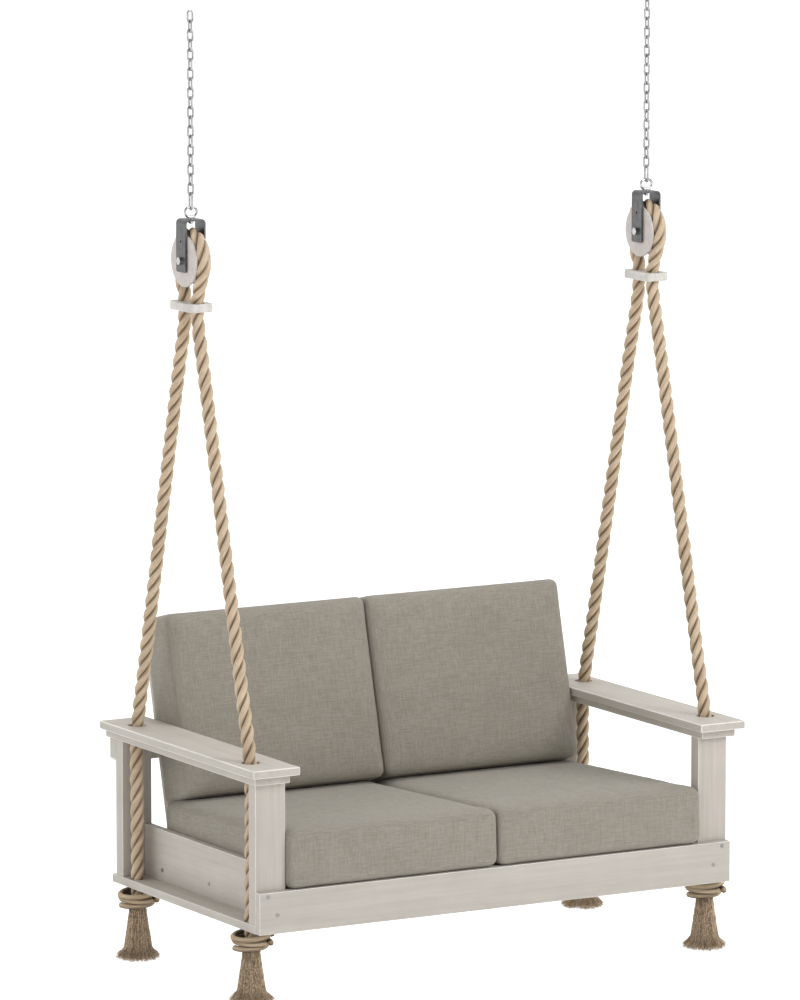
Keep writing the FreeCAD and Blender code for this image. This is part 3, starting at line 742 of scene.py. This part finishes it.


# The knots' manila: a darker copy of the rope's, painted shade for the knots under the plank, with a browner
# tone, and with its underside darkened further as painted shade.
KNOT_MANILA = Manila(
    (0.640, 0.500, 0.345), (0.350, 0.262, 0.168), (0.140, 0.096, 0.056), (0.030, 0.020, 0.012), soiled=0.85
)
BRACKET_STEEL = Coat((0.185, 0.185, 0.188), (0.085, 0.085, 0.088), 0.28, 0.42, (700.0, 700.0, 14.0))
ZINC_PLATE = Coat((0.640, 0.640, 0.650), (0.400, 0.400, 0.415), 0.12, 0.26, (260.0, 260.0, 260.0))
GALVANISED = Coat((0.560, 0.565, 0.580), (0.300, 0.305, 0.320), 0.24, 0.42, (190.0, 190.0, 190.0))
SCREW_STEEL = Coat((0.480, 0.480, 0.475), (0.260, 0.260, 0.258), 0.26, 0.44, (380.0, 380.0, 380.0))
SLEEVE_BRONZE = Coat((0.600, 0.420, 0.200), (0.420, 0.270, 0.110), 0.28, 0.42, (30.0, 600.0, 600.0))
PAINTED_PLATE = Coat(
    (0.700, 0.675, 0.640), (0.560, 0.535, 0.495), 0.48, 0.62, (140.0, 10.0, 60.0), (0.4, 0.2, 0.0),
    lines=(1.0, 4.0, 0.55), mottle=(38.0, 4.0, 0.6), share=0.5, low=0.38, high=0.62,
    depth=0.0004, metallic=0.0, specular=0.4,
)
SHEAVE_POLYMER = Coat(
    (0.640, 0.590, 0.560), (0.500, 0.455, 0.430), 0.42, 0.58, shift=(0.3, 0.1, 0.2),
    lines=(700.0, 2.0, 0.55), mottle=(45.0, 5.0, 0.65), share=0.4, high=0.62,
    depth=0.0002, metallic=0.0, specular=0.45,
)


# ---- The bench frame and its hardware ----


RECLINE = 14.2
SEAT_TILT = 2.7
SEED_STEP = 0.83
BOARDS = (
    (Grain.X, 0.0, ("front_rail", "upper_rear_rail", "lower_rear_rail")),
    (Grain.X, -SEAT_TILT, ("seat_slats",)),
    (Grain.X, RECLINE, ("back_top_rail", "back_wedge")),
    (Grain.Z, RECLINE, ("back_slats",)),
    (Grain.Z, 0.0, ("front_post_", "back_post_")),
    (Grain.Y, 0.0, ("bottom_plank_", "side_panel_", "arm_", "arm_support_")),
    (Grain.Y, 0.0, ("seat_bearer_centre", "seat_bearer_")),
)
HARDWARE = (
    ("screw_steel", SCREW_STEEL, ("frame_screws", "back_screws")),
    ("zinc_plate", ZINC_PLATE, ("axle_nuts", "eye_nuts", "axle_bolt_", "eye_bolt_")),
    ("galvanised_chain", GALVANISED, ("chain_", "long_link_", "top_link_")),
    ("dark_brushed_steel", BRACKET_STEEL, ("bracket_",)),
    ("painted_plate", PAINTED_PLATE, ("spreader_",)),
    ("sleeve_bronze", SLEEVE_BRONZE, ("axle_sleeves",)),
)


def sided(names: Sequence[str]) -> list[str]:
    """Spells out the nodes that come in a left and a right.

    Args:
        names: Node names; one that ends in an underscore stands for its two sides.

    Returns:
        The full names.
    """
    sides = [side.word for side in Side]
    return [name + end for name in names for end in (sides if name.endswith("_") else [""])]


def dress(node: str, material: Material) -> None:
    """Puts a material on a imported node, which keeps its shape.

    Args:
        node: The node's name.
        material: The finish.
    """
    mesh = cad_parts[node].data
    mesh.materials.clear()
    mesh.materials.append(material)
    LOG.info("%s wears %s", node, material.name)


def dress_boards() -> None:
    """Gives every board a finish of its own, so that no two share their grain."""
    wood = {node: (grain, lean) for grain, lean, names in BOARDS for node in sided(names)}
    for number, (node, (grain, lean)) in enumerate(sorted(wood.items(), key=lambda item: item[0])):
        dress(node, LimedWood(grain, lean, SEED_STEP * number).build("limed_" + node))


def dress_hardware() -> None:
    """Gives the screws, chains, brackets, spreaders and pulleys their metal, paint or polymer."""
    for name, finish, names in HARDWARE:
        material = finish.build(name)
        for node in sided(names):
            dress(node, material)
    for node in sided(["sheave_"]):
        low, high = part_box(node)
        polymer = replace(SHEAVE_POLYMER, centre=tuple((low + high) / 2))
        dress(node, polymer.build(node.replace("sheave", "sheave_polymer")))


# ---- Cushions ----


@dataclass
class BoxCushion:
    """A boxed foam cushion with a sewn cover.

    It is made flat: X is its width, Y its length and Z its thickness, and -Z is the side that rests.
    """

    node: str
    lean: float
    solid_edge: float = 0.014
    settle: float = 0.0
    round_edge: float = 0.025
    start_in: float = 0.004
    swell: float = 0.0045
    crown: float = 0.005
    press: float = 0.004
    voxel: float = 0.010
    pressure: float = 4.0
    frames: int = 15
    seam_in: float = 0.012
    seam_radius: float = 0.0009
    seam_sunk: float = 0.35
    seam_step: float = 0.006
    steps: int = 10

    def size(self) -> Vector:
        """The cushion's width, length and thickness, worked out from its leaning solid's box.

        Returns:
            The three sizes.
        """
        low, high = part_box(self.node)
        angle = abs(math.radians(self.lean))
        ends = 2 * self.solid_edge
        reach_y, reach_z = high.y - low.y - ends, high.z - low.z - ends
        cos, sin = math.cos(angle), math.sin(angle)
        part = cos * cos - sin * sin
        along = (reach_y * cos - reach_z * sin) / part + ends
        up = (reach_z * cos - reach_y * sin) / part + ends
        return Vector((high.x - low.x, along, up))

    def build(self, weave: Material, thread: Material) -> Piece:
        """Makes the cushion and its seams.

        Args:
            weave: The cover's cloth.
            thread: The seams' cloth.

        Returns:
            The cushion.
        """
        low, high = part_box(self.node)
        size = self.size()
        cover = self.block(size)
        self.inflate(cover, size)
        finer = cover.modifiers.new("finer", "SUBSURF")
        finer.levels = finer.render_levels = 1
        self.bake(cover)
        cover.data.shade_smooth()
        seams = [self.seam(cover, size, level) for level in (-1, 1)]
        leaning = Euler((math.radians(self.lean), 0, 0)).to_matrix().to_4x4()
        place = Matrix.Translation((low + high) / 2) @ leaning
        for piece in (cover, *seams):
            piece.matrix_world = place
        finished(cover, "bench", weave)
        for piece in seams:
            finished(piece, "bench", thread)
        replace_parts(cover, self.node)
        return cover

    def block(self, size: Vector) -> Piece:
        """The cover before it is filled: a rounded block, remeshed into even small faces.

        Args:
            size: The cushion's size.

        Returns:
            The block.
        """
        half = size / 2 - Vector((self.start_in,) * 3)
        inner = half - Vector((self.round_edge,) * 3)
        mesh = bpy.data.meshes.new(self.node)
        points, faces = [], []
        row = self.steps + 1
        for axis, way in product(range(3), (-1, 1)):
            second, third = (axis + 1) % 3, (axis + 2) % 3
            start = len(points)
            for i, j in product(range(row), range(row)):
                point = Vector((0, 0, 0))
                point[axis] = half[axis] * way
                point[second] = half[second] * (2 * i / self.steps - 1)
                point[third] = half[third] * (2 * j / self.steps - 1)
                points.append(tuple(point))
            for i, j in product(range(self.steps), range(self.steps)):
                a = start + i * row + j
                quad = (a, a + row, a + row + 1, a + 1)
                faces.append(quad if way > 0 else quad[::-1])
        mesh.from_pydata(points, [], faces)
        piece = linked(self.node + "_cover", mesh)
        weld = piece.modifiers.new("weld", "WELD")
        weld.merge_threshold = 0.0001
        remesh = piece.modifiers.new("remesh", "REMESH")
        remesh.mode = "VOXEL"
        remesh.voxel_size = self.voxel
        self.bake(piece)
        places = vertices_of(piece.data)
        limit = np.array(inner)
        core = np.clip(places, -limit, limit)
        away = places - core
        far = np.linalg.norm(away, axis=1, keepdims=True)
        outside = (np.abs(away) > NEAR).sum(1, keepdims=True) > 1
        rounded = core + away * (self.round_edge / np.maximum(far, TINY))
        place_vertices(piece.data, np.where(outside, rounded, places))
        return piece

    @staticmethod
    def bake(piece: Piece) -> None:
        """Turns a piece's modifiers into its mesh.

        Args:
            piece: The piece.
        """
        ready = piece.evaluated_get(bpy.context.evaluated_depsgraph_get())
        mesh = bpy.data.meshes.new_from_object(ready)
        piece.modifiers.clear()
        piece.data = mesh

    def inflate(self, piece: Piece, size: Vector) -> None:
        """Fills the cover by a short cloth simulation, and keeps it off what it rests on.

        Args:
            piece: The cover.
            size: The cushion's size.
        """
        before = vertices_of(piece.data)
        cloth = piece.modifiers.new("cloth", "CLOTH")
        cloth.settings.quality = 5
        cloth.settings.use_pressure = True
        cloth.settings.uniform_pressure_force = self.pressure
        cloth.settings.effector_weights.gravity = 0.0
        cloth.point_cache.frame_start = 1
        cloth.point_cache.frame_end = self.frames
        scene = bpy.context.scene
        for number in range(1, self.frames + 1):
            scene.frame_set(number)
        self.bake(piece)
        moved = vertices_of(piece.data) - before
        far = np.linalg.norm(moved, axis=1, keepdims=True)
        moved *= self.swell * np.tanh(far / self.swell) / np.maximum(far, TINY)
        places = before + moved
        half = np.array(size) / 2
        places *= (half + (self.press, self.press, self.crown)) / np.abs(places).max(axis=0)
        places = np.clip(places, -half, half + (0.0, 0.0, self.crown))
        lower = smoothstep(0.5 - places[:, 1] / size.y)
        behind = smoothstep(0.5 - places[:, 2] / size.z)
        places[:, 1] -= self.settle * lower * behind
        place_vertices(piece.data, places)
        scene.frame_set(1)

    def seam(self, cover: Piece, size: Vector, level: int) -> Piece:
        """The sewn seam round one edge of the boxing, laid on the cover.

        Args:
            cover: The finished cover, still flat and at the origin.
            size: The cushion's size.
            level: -1 for the resting side's seam and 1 for the other.

        Returns:
            The seam.
        """
        mesh = cover.data
        tree = BVHTree.FromPolygons([v.co for v in mesh.vertices], [tuple(p.vertices) for p in mesh.polygons])
        half = size / 2
        corner = self.round_edge
        outline = []
        for number, (way_x, way_y) in enumerate(((1, 1), (-1, 1), (-1, -1), (1, -1))):
            centre = Vector((way_x * (half.x - corner), way_y * (half.y - corner), 0))
            for angle in np.linspace(number, number + 1, 9) * (math.pi / 2):
                outline.append(centre + Vector((math.cos(angle), math.sin(angle), 0)) * corner)
        outline.append(outline[0])
        route = resampled(np.array([tuple(p) for p in outline]), self.seam_step)[:-1]
        height = level * (half.z - self.seam_in)
        laid, outward = [], []
        for x, y, _ in route:
            place, normal, _, _ = tree.find_nearest(Vector((x, y, height)))
            laid.append(tuple(place - normal * self.seam_radius * self.seam_sunk))
            outward.append(tuple(normal))
        parts = MeshParts()
        radii = np.full(len(laid), self.seam_radius)
        parts.tube(np.array(laid), radii, np.array(outward), 8, closed=True)
        return parts.build(f"{self.node}_seam_{'low' if level < 0 else 'high'}")


# ---- Ropes ----


@dataclass
class RopeFall:
    """One three-strand rope from knot to knot, over its pulley, with its knots and tassels.

    route holds the front half of the rope as pairs: how far from the pivot plane, and how high.
    """

    side: Side
    route: tuple[tuple[float, float], ...] = (
        (0.3190, -2.4440),
        (0.3190, -2.1780),
        (0.3250, -1.9618),
        (0.2680, -1.7519),
        (0.0810, -0.9829),
        (0.0230, -0.7730),
        (0.0529, -0.7093),
        (0.0772, -0.6417),
        (0.0359, -0.5830),
    )
    diameter: float = 0.036
    lay: float = 0.128
    strands: int = 3
    strand_radius: float = 0.0093
    bulge: float = 0.0006
    yarns: int = 7
    yarn_depth: float = 0.0003
    yarn_twist: float = 1.5
    step: float = 0.005
    below_plank: float = 0.020

    def centreline(self) -> np.ndarray:
        """The rope's line, read from its NURBS spline.

        Returns:
            Points a short step apart.
        """
        curve = bpy.data.curves.new("rope_line_" + self.side.word, "CURVE")
        curve.dimensions = "3D"
        curve.resolution_u = 32
        spline = curve.splines.new("NURBS")
        low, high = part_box("rope_" + self.side.word)
        x = (low.x + high.x) / 2
        front = [(x, -distance, z, 1.0) for distance, z in self.route]
        back = [(x, distance, z, 1.0) for distance, z in reversed(self.route)]
        spline.points.add(len(front + back) - 1)
        for point, place in zip(spline.points, front + back):
            point.co = place
        spline.order_u = 3
        spline.use_endpoint_u = True
        holder = linked(curve.name, curve)
        ready = holder.evaluated_get(bpy.context.evaluated_depsgraph_get())
        mesh = bpy.data.meshes.new_from_object(ready)
        line = vertices_of(mesh)
        bpy.data.objects.remove(holder)
        bpy.data.meshes.remove(mesh)
        bpy.data.curves.remove(curve)
        return resampled(line, self.step)

    def build(self, manila: Material, worn: Material, frayed: Material) -> Piece:
        """Args:
            manila: The rope's finish.
            worn: The knots' finish.
            frayed: The tassels' finish.

        Returns:
            The rope.
        """
        line = self.centreline()
        rope = finished(self.laid(line), "bench", manila)
        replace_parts(rope, "rope_" + self.side.word)
        for place in Place:
            StopperKnot(self.side, place).build(worn)
            Tassel(self.side, place).build(frayed)
        return rope

    def laid(self, line: np.ndarray) -> Piece:
        """Lays the strands round the rope's line.

        Args:
            line: The rope's centreline.

        Returns:
            The rope's object.
        """
        along = tangents(line)
        sideways = np.tile([1.0, 0.0, 0.0], (len(line), 1))
        upward = np.cross(along, sideways)
        turn = walked(line) * (TURN / self.lay)
        parts = MeshParts()
        around = 4 * self.yarns
        spot = spots(around)
        for number, angle in enumerate(turn + spots(self.strands)[:, None]):
            out = np.cos(angle)[:, None] * sideways + np.sin(angle)[:, None] * upward
            centres = line + out * (self.diameter / 2 + self.bulge - self.strand_radius)
            twist = turn[:, None] * self.yarn_twist
            ripple = np.cos(self.yarns * spot[None, :] + twist) * self.yarn_depth
            radii = self.strand_radius - self.yarn_depth + ripple
            parts.tube(centres, radii, -out, around, texture_start=(number, 0.0))
        return parts.build("rope_strands_" + self.side.word)


@dataclass(frozen=True)
class KnotLoop:
    """One strand's loop: its radius and height, how far its right side and its back rise, and its turn."""

    radius: float
    height: float
    rise: float
    tip: float
    start: float
    sweep: float


@dataclass
class StopperKnot:
    """The knot under the plank: each strand loops once round the others."""

    side: Side
    place: Place
    strand_radius: float = 0.0075
    core: float = 0.012
    loose_end: float = 0.006
    lobes: int = 7
    lobe_depth: float = 0.00035
    lobe_twist: float = 22.0
    rings: int = 84
    tucks_in: float = 0.16
    comes_out: float = 0.88
    tilt_from: float = 0.52
    descent: float = 0.0030
    turn_chance: float = 12.0
    width_chance: float = 0.001
    loops: tuple[KnotLoop, ...] = (
        KnotLoop(0.0470, -0.0163, 0.0038, 0.0042, 372.0, 395.0),
        KnotLoop(0.0458, -0.0306, -0.0034, 0.0030, 346.0, 376.0),
        KnotLoop(0.0385, -0.0430, 0.0024, 0.0016, 130.0, 330.0),
    )

    def build(self, manila: Material) -> Piece:
        """Makes the knot.

        Args:
            manila: The knot's finish.

        Returns:
            The knot.
        """
        node = f"knot_{self.place.word}_{self.side.word}"
        centre = top_of(node)
        shake = random.Random(node)
        parts = MeshParts()
        share = np.linspace(0.0, 1.0, self.rings)
        spot = spots(4 * self.lobes)
        for number, loop in enumerate(self.loops):
            turned = shake.uniform(-self.turn_chance, self.turn_chance)
            angle = np.radians(loop.start + turned - loop.sweep * share)
            wide = loop.radius + shake.uniform(-self.width_chance, self.width_chance)
            reach = self.core + (wide - self.core) * smoothstep(share / self.tucks_in)
            reach = reach + self.loose_end * smoothstep((share - self.comes_out) / (1 - self.comes_out))
            tilt = angle + self.tilt_from
            height = loop.height + loop.rise * np.cos(tilt) + loop.tip * np.sin(tilt)
            height = height - self.descent * (share - 0.5)
            points = centre + np.stack([reach * np.cos(angle), reach * np.sin(angle), height], axis=1)
            outward = np.stack([np.cos(angle), np.sin(angle), np.zeros_like(angle)], axis=1)
            ripple = np.cos(self.lobes * spot + share[:, None] * self.lobe_twist) * self.lobe_depth
            radii = self.strand_radius + ripple
            parts.tube(points, radii, -outward, len(spot), texture_start=(number, 0.3))
        knot = finished(parts.build(node + "_loops"), "bench", manila)
        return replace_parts(knot, node)


@dataclass
class Tassel:
    """The rope's combed-out end: a dense skirt of fibres whose hem flicks outward."""

    side: Side
    place: Place
    fibres: int = 1500
    top: float = 0.0205
    skirt: float = 0.0405
    taper: float = 1.15
    flick: float = 0.021
    flick_from: float = 0.84
    lift_from: float = 0.90
    lift: float = 0.15
    rings: int = 10
    tucked: float = 0.006
    reach: float = 0.009
    core_end: float = 0.965
    core_width: float = 0.93
    core_around: int = 64
    core_rings: int = 30
    lumps: float = 3.5
    lump_height: float = 0.07
    inner_every: int = 4
    inner_start: float = 0.86
    sway: float = 0.16
    wave: float = 0.0009
    curl: float = 0.11 / 3
    waves: tuple[float, float] = (18.0, 34.0)
    thick: tuple[float, float] = (0.0006, 0.00095)

    def radius(self, share: np.ndarray) -> np.ndarray:
        """The skirt's radius down its length.

        Args:
            share: 0 at the knot and 1 at the hem.

        Returns:
            The radius.
        """
        return self.top + (self.skirt - self.top) * share**self.taper

    def build(self, frayed: Material) -> Piece:
        """Makes the tassel.

        Args:
            frayed: The fibres' finish.

        Returns:
            The tassel.
        """
        node = f"tassel_{self.place.word}_{self.side.word}"
        low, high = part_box(node)
        centre = top_of(node) + (0.0, 0.0, self.tucked)
        drop = high.z - low.z + self.reach
        shake = random.Random(node)
        parts = MeshParts()
        self.add_core(parts, centre, drop)
        for number in range(self.fibres):
            self.add_fibre(parts, centre, drop, shake, number + 1)
        tassel = finished(parts.build(node + "_fibres"), "bench", frayed)
        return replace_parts(tassel, node)

    def add_core(self, parts: MeshParts, centre: np.ndarray, drop: float) -> None:
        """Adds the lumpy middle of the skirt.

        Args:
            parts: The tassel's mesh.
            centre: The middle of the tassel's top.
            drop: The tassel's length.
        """
        share = np.linspace(0.0, self.core_end, self.core_rings)
        spot = spots(self.core_around)
        line = centre + np.outer(share, (0.0, 0.0, -drop))
        circle = np.stack([np.cos(spot), np.sin(spot)], axis=1) * self.lumps
        uneven = np.array([[noise.noise(Vector((x, y, s * 2))) for x, y in circle] for s in share])
        radii = (self.radius(share) * self.core_width)[:, None] * (1 + self.lump_height * uneven)
        radii[-1] *= 0.6
        across = np.tile([1.0, 0.0, 0.0], (len(share), 1))
        parts.tube(line, radii, across, len(spot), texture_start=(0.1, 0.0))

    def add_fibre(
        self, parts: MeshParts, centre: np.ndarray, drop: float, shake: random.Random, number: int
    ) -> None:
        """Adds one fibre.

        Args:
            parts: The tassel's mesh.
            centre: The middle of the tassel's top.
            drop: The tassel's length.
            shake: The tassel's own source of chance.
            number: The fibre's number, which sets its tone.
        """
        angle = shake.uniform(0, TURN)
        layer = 1.03 - 0.24 * shake.random() ** 2.4
        long = drop * shake.uniform(0.915, 1.0)
        begin = shake.uniform(0.0, 0.72)
        if number % self.inner_every == 0:
            layer, begin = math.sqrt(shake.random()), self.inner_start
        share = np.linspace(begin, 1.0, self.rings)
        flicked = shake.random() * self.flick
        hem = smoothstep((share - self.flick_from) / (1 - self.flick_from))
        out = layer * self.radius(share) + hem * flicked
        lift = smoothstep((share - self.lift_from) / (1 - self.lift_from)) * flicked * self.lift
        phase = shake.uniform(0.0, 6.28)
        curl = np.sin(share * shake.uniform(*self.waves) + phase) * self.curl
        turn = angle + shake.uniform(-self.sway, self.sway) * share + curl
        out = out + self.wave * np.cos(share * shake.uniform(*self.waves) + phase)
        points = centre + np.stack([out * np.cos(turn), out * np.sin(turn), -long * share + lift], axis=1)
        thick = shake.uniform(*self.thick) * (1.0 - 0.4 * share)
        outward = np.tile([math.cos(angle), math.sin(angle), 0.0], (self.rings, 1))
        parts.tube(points, thick, outward, 3, texture_start=(number + 0.3, 0.0))


# ---- The studio ----


@dataclass
class Studio:
    """A plain pale floor, soft light and the camera."""

    azimuth: float = -29.78
    elevation: float = 8.502
    distance: float = 19.7244
    target: Triple = (-0.0691, 0.0, -1.3343)
    lens: float = 265.36
    floor_drop: float = 1.25
    floor_size: float = 400.0
    glow_starts: float = 2.5
    glow_full: float = 6.0
    near_glow: float = 0.05
    far_glow: float = 0.75
    front_light: float = 0.22
    back_light: float = 0.95

    def build(self) -> None:
        """Makes the floor, the lights and the camera."""
        self.add_floor()
        self.add_world()
        self.add_softbox("key", (3.5, -6.5, 2.5), 4.0, 330.0)
        self.add_softbox("fill", (-6.0, -3.0, 1.0), 3.0, 45.0)
        self.add_softbox("top", (0.3, 0.6, 4.4), 3.5, 85.0)
        self.add_camera()

    def add_floor(self) -> None:
        """Makes the pale floor, well below the tassels and a little brighter further away."""
        z = CAD_BOX[0].z - self.floor_drop
        half = self.floor_size / 2
        mesh = bpy.data.meshes.new("floor")
        corners = [(-half, -half, z), (half, -half, z), (half, half, z), (-half, half, z)]
        mesh.from_pydata(corners, [], [(0, 1, 2, 3)])
        floor = linked("floor", mesh)
        kit = Nodes("pale_floor")
        flat = kit.mapped(kit.place, (1.0, 1.0, 0.0))
        reach = kit.node("VectorMath", {0: flat}, operation="LENGTH").outputs["Value"]
        glow = kit.spread(reach, self.glow_starts, self.glow_full, self.near_glow, self.far_glow)
        kit.put(kit.shader.inputs["Emission Strength"], glow)
        plain = {"Emission_Color": (1.0, 1.0, 1.0, 1.0), "Specular_IOR_Level": 0.0}
        mesh.materials.append(kit.finish((0.76, 0.76, 0.76), 0.9, **plain))

    def add_world(self) -> None:
        """Lights the scene from all round, softly and with less light from the front."""
        world = bpy.data.worlds.new("studio")
        world.use_nodes = True
        tree = world.node_tree
        background = tree.nodes["Background"]
        background.inputs[0].default_value = (1.0, 1.0, 1.0, 1.0)
        split = tree.nodes.new("ShaderNodeSeparateXYZ")
        ramp = tree.nodes.new("ShaderNodeMapRange")
        for key, value in enumerate((-0.7, 0.3, self.front_light, self.back_light), start=1):
            ramp.inputs[key].default_value = value
        tree.links.new(tree.nodes.new("ShaderNodeTexCoord").outputs["Generated"], split.inputs[0])
        tree.links.new(split.outputs["Y"], ramp.inputs[0])
        tree.links.new(ramp.outputs[0], background.inputs[1])
        bpy.context.scene.world = world
        bpy.context.scene.view_settings.view_transform = "Standard"

    def add_softbox(self, name: str, place: Triple, size: float, power: float) -> None:
        """Adds a square lamp that faces the swing.

        Args:
            name: The lamp's name.
            place: Where it stands.
            size: The length of its sides.
            power: Its power in watts.
        """
        lamp = bpy.data.lights.new(name, "AREA")
        lamp.size = size
        lamp.energy = power
        holder = linked(name, lamp)
        holder.location = place
        towards = Vector(self.target) - Vector(place)
        holder.rotation_euler = towards.to_track_quat("-Z", "Y").to_euler()

    def add_camera(self) -> None:
        """Points the camera at the swing."""
        camera = bpy.data.cameras.new("camera")
        camera.lens = self.lens
        camera.clip_end = 200.0
        holder = linked("camera", camera)
        turn, rise = math.radians(self.azimuth), math.radians(self.elevation)
        back = Vector((math.sin(turn) * math.cos(rise), -math.cos(turn) * math.cos(rise), math.sin(rise)))
        holder.location = Vector(self.target) + back * self.distance
        holder.rotation_mode = "QUATERNION"
        holder.rotation_quaternion = (-back).to_track_quat("-Z", "Y")
        bpy.context.scene.camera = holder


def main() -> None:
    """Builds the studio, the ropes, the bench, the hardware and the cushions in order."""
    logging.basicConfig(level=logging.INFO, format="%(message)s")
    Studio().build()
    manila = Manila().build("laid_manila")
    # The knots wear a darker manila: painted shade, with a browner tone.
    knot_rope_wear_and_shade = KNOT_MANILA.build("worn_manila")
    frayed = FrayedFibre().build("frayed_manila")
    for side in Side:
        RopeFall(side).build(manila, knot_rope_wear_and_shade, frayed)
    dress_boards()
    dress_hardware()
    thread = SlubWeave((0.360, 0.336, 0.286), (0.262, 0.243, 0.203)).build("seam_cloth")
    for number, side in enumerate(Side):
        seat = BoxCushion("seat_cushion_" + side.word, -SEAT_TILT)
        seat.build(SlubWeave(seed=1.3 * number).build("seat_cloth_" + side.word), thread)
        back = BoxCushion("back_cushion_" + side.word, 90.0 - RECLINE, settle=0.016)
        back.build(SlubWeave(seed=5.1 + 1.3 * number).build("back_cloth_" + side.word), thread)


if __name__ == "__main__":
    main()
